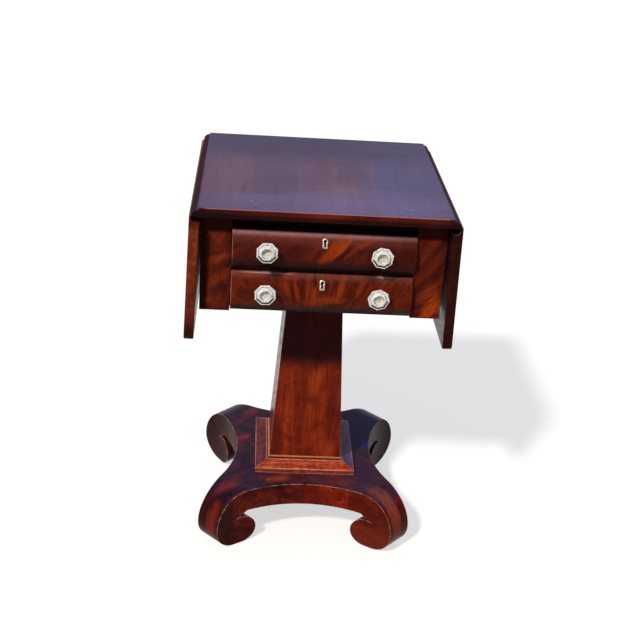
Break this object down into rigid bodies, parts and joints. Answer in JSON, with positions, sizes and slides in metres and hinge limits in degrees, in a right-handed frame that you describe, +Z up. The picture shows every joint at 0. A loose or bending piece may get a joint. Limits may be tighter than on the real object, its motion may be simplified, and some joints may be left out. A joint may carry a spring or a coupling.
{
  "type": "drop-leaf side table",
  "caption": "Drop-leaf work table with drawers behind cushion fronts and faceted glass knobs, on a tapered square pillar with a scroll-footed platform.",
  "frame": {"origin": "on the floor, on the axis of the pillar", "axes": "+X to the right when facing the drawers, +Y from the drawer fronts to the back, +Z up"},
  "size_m": [0.4882, 0.4647, 0.733],
  "materials": {
    "mahogany": "glossy shellac over flame-figured mahogany veneer",
    "secondary_wood": "planed, unfinished secondary wood",
    "glass": "clear pressed glass",
    "brass": "aged brass",
    "iron": "dull wrought iron"
  },
  "bodies": {
    "root": {"top_board": "mahogany", "side_panel_left": "mahogany", "side_panel_right": "mahogany", "back_panel": "mahogany", "front_stile_left": "mahogany", "front_stile_right": "mahogany", "top_rail": "mahogany", "drawer_divider": "mahogany", "case_bottom": "secondary_wood", "drawer_runners": "secondary_wood", "top_kickers": "secondary_wood", "drawer_guides": "secondary_wood", "top_screws": "iron", "pillar_screws": "iron", "fly_bracket_left": "mahogany", "fly_bracket_right": "mahogany", "fly_bracket_pins": "iron", "hinge_fixed_plates": "brass", "hinge_pins": "iron", "hinge_fixed_screws": "iron", "pillar_board_front": "mahogany", "pillar_board_right": "mahogany", "pillar_board_back": "mahogany", "pillar_board_left": "mahogany", "pillar_top_block": "secondary_wood", "plinth_block": "mahogany", "plinth_moulding_front": "mahogany", "plinth_moulding_back": "mahogany", "plinth_moulding_left": "mahogany", "plinth_moulding_right": "mahogany", "base_foot_front_left": "mahogany", "base_foot_front_right": "mahogany", "base_foot_back_left": "mahogany", "base_foot_back_right": "mahogany"},
    "leaf_left": {"leaf_left": "mahogany", "leaf_left_hinge_plates": "brass", "leaf_left_hinge_screws": "iron"},
    "leaf_right": {"leaf_right": "mahogany", "leaf_right_hinge_plates": "brass", "leaf_right_hinge_screws": "iron"},
    "upper_drawer": {"upper_drawer_front": "mahogany", "upper_drawer_side_left": "secondary_wood", "upper_drawer_side_right": "secondary_wood", "upper_drawer_back": "secondary_wood", "upper_drawer_bottom": "secondary_wood", "upper_drawer_knobs": "glass", "upper_knob_fittings": "brass", "upper_lock_case": "brass", "upper_escutcheon": "brass"},
    "upper_lock_bolt": {"upper_lock_bolt": "brass"},
    "lower_drawer": {"lower_drawer_front": "mahogany", "lower_drawer_side_left": "secondary_wood", "lower_drawer_side_right": "secondary_wood", "lower_drawer_back": "secondary_wood", "lower_drawer_bottom": "secondary_wood", "lower_drawer_knobs": "glass", "lower_knob_fittings": "brass", "lower_lock_case": "brass", "lower_escutcheon": "brass"},
    "lower_lock_bolt": {"lower_lock_bolt": "brass"}
  },
  "joints": [
    {"name": "leaf_left_hinge", "type": "hinge", "parent": "root", "child": "leaf_left", "pos_m": [-0.222, 0, 0.717], "axis": [0, 1, 0], "range_deg": [0, 88.5]},
    {"name": "leaf_right_hinge", "type": "hinge", "parent": "root", "child": "leaf_right", "pos_m": [0.222, 0, 0.717], "axis": [0, -1, 0], "range_deg": [0, 88.5]},
    {"name": "upper_drawer_slide", "type": "slide", "parent": "root", "child": "upper_drawer", "axis": [0, -1, 0], "range_m": [0, 0.27]},
    {"name": "lower_drawer_slide", "type": "slide", "parent": "root", "child": "lower_drawer", "axis": [0, -1, 0], "range_m": [0, 0.27]},
    {"name": "upper_lock_bolt_slide", "type": "slide", "parent": "upper_drawer", "child": "upper_lock_bolt", "axis": [0, 0, 1], "range_m": [0, 0.006]},
    {"name": "lower_lock_bolt_slide", "type": "slide", "parent": "lower_drawer", "child": "lower_lock_bolt", "axis": [0, 0, 1], "range_m": [0, 0.006]}
  ]
}
